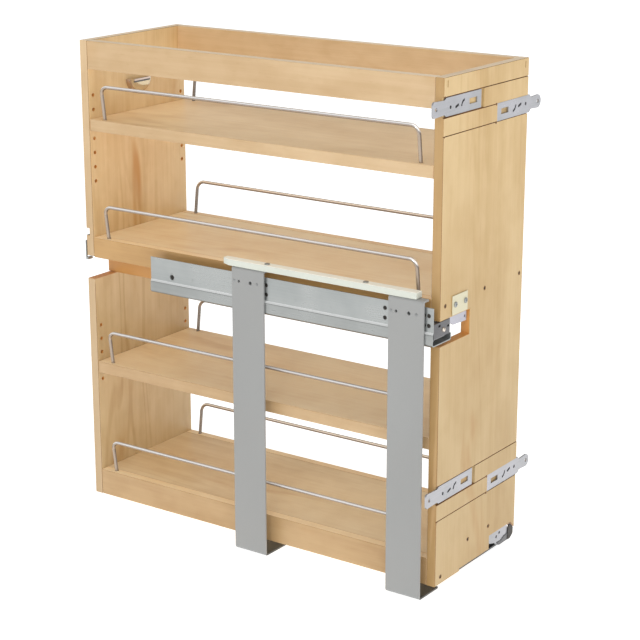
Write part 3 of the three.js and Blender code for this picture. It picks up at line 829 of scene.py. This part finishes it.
def add_near_web():
    """The near runner's fixed channel, screwed to the legs through its tall web."""
    line = [
        (WEB_X, 371), (WEB_X, 340, 3), (-17.2, 337.3, 3), (-17.2, 322, 3.6), (27, 322, 3), (27, 331),
    ]
    bm, cutters = bmesh.new(), bmesh.new()
    bent_sheet(bm, line, SHEET, 0, 443)
    holes = [(WEB_X, y, z) for y in (6.4, 13.2, 69.5, 251) for z in (348.5, 361)]
    for hole in holes:
        drill(cutters, "x", 2.8, -1, 3.5, hole, flare=0.2)
    drill(cutters, "x", 3.4, -1, 3.5, WEB_EYELET, flare=0.2)
    bm = cut(bm, cutters)
    paint_faces(bm, web_finish)
    lathe(bm, "-x", WEB_EYELET, EYELET_RIM, 32)
    for y in (150, 205, 320, 372):
        lathe(bm, "-x", (WEB_X, y, 348.5), DIMPLE, 24)
    node = "near_cabinet_member"
    finishes = [ZINC, SHOULDER_HIGHLIGHT_ZINC, BULGE_SHADE_ZINC]
    show(f"{node}_sheet", bm, finishes, body_of(node), [node])
    screws, recesses = bmesh.new(), bmesh.new()
    for hole in holes:
        sunk_head(screws, recesses, "-x", hole, radius=2.6, below=0.9)
    sunk_head(screws, recesses, "-x", WEB_EYELET, radius=3.2, below=1.1)
    show(f"{node}_screws", cut(screws, recesses), [DARK_STEEL], body_of(node))


def add_channel(node, line, y0, y1, material):
    bm = bmesh.new()
    bent_sheet(bm, line, SHEET, y0, y1)
    show(f"{node}_sheet", bm, [material], body_of(node), [node])


def add_runners():
    add_near_web()
    add_channel("near_middle_member", [
        (-9.5, 338), (-9.5, 328.2, 2.8), (19.5, 328.2, 2.8),
        (19.5, 343.1, 2.8), (-1, 343.1, 2.4), (-1, 338),
    ], 4, 437, INNER_ZINC)
    add_channel("near_drawer_member", [
        (24, 334), (24, 349.2, 2.8), (-12.5, 349.2, 2.8), (-12.5, 328),
    ], 2, 441, INNER_ZINC)
    # Its dark zinc paints the shade under the front panel.
    add_channel("far_cabinet_member", [
        (140, 0), (140, -11.2, 2.4), (200, -11.2, 2.4), (200, 9),
    ], 16, 443, DARK_ZINC_AND_SHADE)
    add_channel("far_middle_member", [
        (148, 4), (148, -5, 2.8), (190, -5, 2.8), (190, 14.5, 2.8), (162, 14.5, 2.4), (162, 9),
    ], 18, 437, INNER_ZINC)
    add_channel("far_drawer_member", [
        (195.5, -4), (195.5, 20.6, 2.8), (144, 20.6, 2.8), (144, -4),
    ], 12, 441, ZINC)
    for runner in ("near", "far"):
        for level in ("lower", "upper"):
            add_cage(f"{runner}_{level}_cage")
    add_simple("near_locking_clip", BRIGHT_ZINC)
    add_end_stop()
    add_far_clip()
    add_rear_catch()


def add_end_stop():
    """The pressed stop at the near drawer member's front, with its bright tongue and two dark slots; its
    dark zinc partly paints the shade inside the notch.
    """
    bm, cutters = bmesh.new(), bmesh.new()
    front_y = 0.5
    add_block(bm, (-13.6, front_y, 331), (24.6, 1.9, 350))
    for x, z in ((0, 345.5), (20.5, 341.5)):
        add_block(cutters, (x - 2.4, 0, z - 1.5), (x + 2.4, 3, z + 1.5))
    bm = cut(bm, cutters)
    ease(bm, 10, 0.4)
    tongue = [(0, 2.2), (1.4, 2.1), (2.6, 1.4), (3.0, 0.2), (3.0, -0.2), (0, -0.3)]
    lathe(bm, "-y", (9.5, front_y, 339), tongue, 28, 1)
    body = body_of("near_drawer_member")
    show("near_drawer_end_stop", bm, [DARK_ZINC_AND_SHADE, POLISHED], body)


def add_clip_plate(name, points, front_y, rim, material):
    """A flat part of the far clip, whose (x, z) outline ends where it starts."""
    bm = bmesh.new()
    outline = fillet(points)[:-1]
    near, far = ([bm.verts.new(at(p.x, y, p.y)) for p in outline] for y in (front_y, 2.6))
    bridge(bm, near, far)
    bm.faces.new(near)
    bm.faces.new(far)
    ease(bm, 3, rim)
    show(name, bm, [material], body_of("far_locking_clip"))


def add_far_clip():
    """The far runner's release clip, with its rolled lower edge and the dark lever beside it."""
    add_simple("far_locking_clip", BRACKET_ZINC)
    add_clip_plate("far_clip_roll", [
        (162, 4), (162.5, 0.6), (166.4, -1.3, 2), (188, -1.3),
        (189, 8), (180, 7, 6), (172, 3.4, 4), (162, 4),
    ], 1.7, 0.35, DARK_ZINC_AND_SHADE)
    add_clip_plate("far_clip_lever", [
        (188.4, -1.2), (195, -1.2, 4), (202.8, 3.6, 3), (203, 12.4),
        (196.2, 19.2), (191, 19.2), (189, 8, 2), (188.4, -1.2),
    ], 1.2, 0.4, DARK_STEEL)


def add_rear_catch():
    """The small sheet catch that shows behind the rear panel's notch."""
    bm = bmesh.new()
    rear_y = DEPTH + 1.4
    add_block(bm, (-1, DEPTH + 0.2, 348), (1.2, rear_y, 372))
    add_block(bm, (-1, DEPTH - 3, 345), (8, rear_y, 348))
    ease(bm, 2, 0.3)
    show("rear_catch", bm, [ZINC], "carriage")


def add_cage(node):
    """Steel rollers in a moulded plate."""
    bm = cad_bmesh(node)
    low, high = local_box(node)
    plane = (low.z + high.z) / 2
    paint_faces(bm, lambda face: 1 if abs(middle_of(face).z - plane) > 0.7 else 0)
    show(f"{node}_finished", bm, [IVORY, ZINC], body_of(node), [node])


# ---- Small fittings ----
def add_simple(node, material, rim=0.3):
    """The CAD node's own shape in one material, with its edges eased."""
    bm = cad_bmesh(node)
    ease(bm, 3, rim)
    show(f"{node}_finished", bm, [material], body_of(node), [node])


def add_bracket(pair, side):
    """A door bracket, and a thin dark plate behind it that shows through its slots."""
    node = f"{pair}_door_bracket_{side}"
    add_simple(node, BRACKET_ZINC)
    low, high = local_box(node)
    middle = (low.z + high.z) / 2
    start, end = (low.x + 35, low.x + 79) if side == "near" else (high.x - 79, high.x - 35)
    slot_backing = bmesh.new()
    add_block(slot_backing, (start, high.y + 0.03, middle - 9), (end, high.y + 0.24, middle + 9))
    ease(slot_backing, 10, 0.08)
    show(f"{node}_cam", slot_backing, [DARK_STEEL], body_of(node))


def add_pin(node):
    """A stepped shelf pin: shank in the panel, collar against it, stub under the shelf."""
    low, high = local_box(node)
    x, z = (low.x + high.x) / 2, (low.z + high.z) / 2
    axis, face_y = ("y", PANEL) if "_front_" in node else ("-y", DEPTH - PANEL)
    bm = bmesh.new()
    lathe(bm, axis, (x, face_y, z), [
        (0, -7.5), (2.0, -7.5), (2.4, -7.1), (2.4, 0.3), (2.9, 0.3), (3.1, 0.5), (3.1, 1.1), (2.9, 1.3),
        (2.4, 1.3), (2.4, 7.4), (2.2, 7.8), (1.8, 8), (0, 8),
    ])
    show(f"{node}_finished", bm, [ZINC], body_of(node), [node])


# ---- Finger cup ----
CUP_WIDE, CUP_TALL, CUP_DEEP, CUP_SHEET = 25, 21, 8, 1.2
CUP_WALL_Y = DEPTH - PANEL - 0.3
CUP_TOP_Z = 586
CUP_SQUARENESS = 3.2
CUP_ROWS, CUP_COLUMNS, CUP_RIM_ROWS = 14, 40, 3


def cup_skin(bm, shrink):
    """One side of the bowl's sheet, in rows from its deepest place out to its rim."""
    skin = []
    for i in range(CUP_ROWS + 1):
        reach = (i / CUP_ROWS) ** 0.7
        out = (1 - reach ** CUP_SQUARENESS) ** (1 / CUP_SQUARENESS) * (CUP_DEEP - shrink)
        row = []
        for k in range(CUP_COLUMNS + 1):
            angle = math.pi + math.pi * k / CUP_COLUMNS
            x = WIDTH / 2 + (CUP_WIDE - shrink) * reach * math.cos(angle)
            z = CUP_TOP_Z + (CUP_TALL - shrink) * reach * math.sin(angle)
            row.append(bm.verts.new(at(x, CUP_WALL_Y - out, z)))
        skin.append(row)
    return skin


def add_cup_lip(bm):
    """The folded bar along the cup's mouth, and a dark strip below it that paints the bar's shadow."""
    left, right = WIDTH / 2 - 16.5, WIDTH / 2 + 16.5
    front = CUP_WALL_Y - CUP_DEEP
    bar_z, painted_shadow_z = CUP_TOP_Z - 2.6, CUP_TOP_Z - 4.8
    add_block(bm, (left, front - 0.3, bar_z), (right, front + 1.2, CUP_TOP_Z), 1)
    # Painted shadow under the bar.
    add_block(bm, (left, front - 0.2, painted_shadow_z), (right, front + 1, bar_z), 2)


def add_cup():
    """A half-moon finger cup: a squarish bowl open at the top, with its own rim and a folded lip."""
    bm = bmesh.new()
    outer, inner = cup_skin(bm, 0), cup_skin(bm, CUP_SHEET)
    for skin in (outer, inner):
        for i in range(CUP_ROWS):
            for k in range(CUP_COLUMNS):
                face = bm.faces.new([skin[i][k], skin[i][k + 1], skin[i + 1][k + 1], skin[i + 1][k]])
                face.material_index = 1 if i >= CUP_ROWS - CUP_RIM_ROWS else 0
    for k in (0, CUP_COLUMNS):
        for i in range(CUP_ROWS):
            bm.faces.new([outer[i][k], outer[i + 1][k], inner[i + 1][k], inner[i][k]])
    for k in range(CUP_COLUMNS):
        face = bm.faces.new([outer[-1][k], outer[-1][k + 1], inner[-1][k + 1], inner[-1][k]])
        face.material_index = 1
    bmesh.ops.remove_doubles(bm, verts=bm.verts, dist=1e-7)
    add_cup_lip(bm)
    node = "half_moon_cup"
    show(f"{node}_shell", bm, [BOWL, CUP_RIM, DARK_ZINC_AND_SHADE], body_of(node), [node])


# ---- Stage ----
def add_stage():
    bm = bmesh.new()
    bmesh.ops.create_grid(bm, x_segments=1, y_segments=1, size=15)
    mesh = bpy.data.meshes.new("floor")
    bm.to_mesh(mesh)
    bm.free()
    floor = bpy.data.objects.new("floor", mesh)
    floor.location = (0, 0, cad_low.z - 0.0005)
    shader = Shader(
        "floor_white", Base_Color=(0.8, 0.8, 0.8, 1), Roughness=0.9,
        Emission_Color=(1, 1, 1, 1), Emission_Strength=0.75,
    )
    mesh.materials.append(shader.material)
    bpy.context.scene.collection.objects.link(floor)


def add_light(name, place, size, power):
    """A soft box that looks at the middle of the object."""
    data = bpy.data.lights.new(name, "AREA")
    data.shape = "RECTANGLE"
    data.size, data.size_y = size
    data.energy = power
    stand(bpy.data.objects.new(name, data), place, Vector((0, 0, 0.33)) - Vector(place))


def add_open_fill():
    """An even fill from the front near side, without shadows, so that it reaches under the shelves."""
    data = bpy.data.lights.new("open_fill", "SUN")
    data.energy = 1.12
    data.angle = math.radians(60)
    data.use_shadow = False
    stand(bpy.data.objects.new("open_fill", data), (0, 0, 0), Vector((0.55, 0.6, -0.58)))


def add_surroundings():
    """A pale studio all round, brighter near the horizon than overhead."""
    world = bpy.data.worlds.new("studio")
    world.use_nodes = True
    tree = world.node_tree
    place = tree.nodes.new("ShaderNodeTexCoord")
    split = tree.nodes.new("ShaderNodeSeparateXYZ")
    level = tree.nodes.new("ShaderNodeMapRange")
    level.inputs["From Min"].default_value = 0.05
    level.inputs["From Max"].default_value = 0.75
    level.inputs["To Min"].default_value = 0.55
    level.inputs["To Max"].default_value = 0.32
    tree.links.new(place.outputs["Generated"], split.inputs["Vector"])
    tree.links.new(split.outputs["Z"], level.inputs["Value"])
    tree.links.new(level.outputs["Result"], tree.nodes["Background"].inputs["Strength"])
    tree.nodes["Background"].inputs["Color"].default_value = (1.0, 0.995, 0.98, 1)
    bpy.context.scene.world = world


# ---- Assembly ----
add_camera()
add_stage()
add_light("key", (-3.2, -1.0, 1.9), (0.7, 0.7), 14)
add_light("front_fill", (-0.6, -3.4, 1.8), (2.0, 1.6), 5)
add_light("top", (-0.6, 0.0, 3.2), (1.6, 1.6), 13)
add_open_fill()
add_surroundings()
bpy.context.scene.view_settings.view_transform = "Standard"

RECESS_SHADE_WOOD = recess_shade_wood()
CHROME = chrome()
POLISHED = polished("polished_plate", srgb(236, 228, 216), srgb(214, 204, 190))
# The bowl's warm tint is a painted reflection of the wood.
BOWL = polished("cup_bowl", srgb(226, 208, 174), srgb(202, 184, 150), metallic=0.6)
CUP_RIM = polished("cup_rim", srgb(206, 188, 176), srgb(182, 164, 152))
PAINT = painted_steel(
    "painted_steel", srgb(147, 148, 147), srgb(153, 154, 153), srgb(174, 176, 176),
)
# Near-black steel that paints the shade on the legs' foot plates.
SHADED_STEEL = painted_steel("foot_steel_painted_shade", srgb(62, 62, 58), srgb(78, 77, 72), srgb(96, 96, 92))
IVORY = plastic("ivory_plastic", srgb(228, 232, 224), srgb(218, 222, 210))
PAD = plastic("ivory_pad", srgb(218, 212, 184), srgb(208, 202, 172))
STRIP_SIDE = plastic("ivory_strip", srgb(214, 218, 209), srgb(204, 208, 197))
STRIP_LIT_TOP = plastic("ivory_strip_lit_top", srgb(248, 248, 238), srgb(240, 240, 228))
ZINC = zinc("zinc_sheet", srgb(168, 171, 170), srgb(148, 153, 153))
INNER_ZINC = zinc("zinc_inner", srgb(150, 152, 152), srgb(120, 123, 123))
BRIGHT_ZINC = zinc("zinc_bright", srgb(188, 187, 196), srgb(164, 165, 174), metallic=0.85)
BRACKET_ZINC = zinc("zinc_bracket", srgb(180, 180, 186), srgb(160, 163, 165), "x")
# A painted highlight for the web's shoulder and painted shade for its bulge.
SHOULDER_HIGHLIGHT_ZINC = zinc("zinc_shoulder_painted_highlight", srgb(222, 224, 224), srgb(206, 208, 208), metallic=0.3)
BULGE_SHADE_ZINC = zinc("zinc_bulge_painted_shade", srgb(160, 163, 162), srgb(138, 141, 140))
# Dark zinc of the end stop and the far clip's roll, also used as painted shade.
DARK_ZINC_AND_SHADE = zinc("zinc_dark_and_painted_shade", srgb(112, 112, 114), srgb(84, 84, 87))
DARK_STEEL = dark_steel()

add_panel(
    "front_panel", 1, 0, PANEL, (FACE_TONES, EDGE_TONES), figure=1.15, painted_shade_by_height=(0.83, 1.06),
)
add_panel(
    "rear_panel", 6, DEPTH, DEPTH - PANEL, (INNER_LIT_TONES, RAIL_TONES), figure=2.2,
    painted_shade_by_height=(0.77, 1.12), edge_painted_shade_by_height=(0.82, 1.0),
)
add_boards()
add_panel_screws("front_panel", "-y", 0)
add_groove_end_pit_shade()
add_panel_screws("rear_panel", "y", DEPTH)
for shelf in ("upper", "mid", "lower", "bottom"):
    for side in ("near", "far"):
        add_wire(f"{shelf}_shelf_wire_{side}", side)
for leg in ("front_leg", "rear_leg"):
    add_leg(leg)
add_strip()
add_runners()
for pair in ("upper", "lower"):
    for side in ("near", "far"):
        add_bracket(pair, side)
        for end in ("front", "rear"):
            add_pin(f"{pair}_shelf_pin_{end}_{side}")
for end, axis, y in (("front", "-y", -1.9), ("rear", "y", DEPTH + 1.9)):
    add_simple(f"{end}_pad", PAD, 0.4)
    for i, x in enumerate((33, 57)):
        add_screw(f"{end}_pad_screw_{i + 1}", axis, (x, y, 365.5), reach=6)
add_cup()
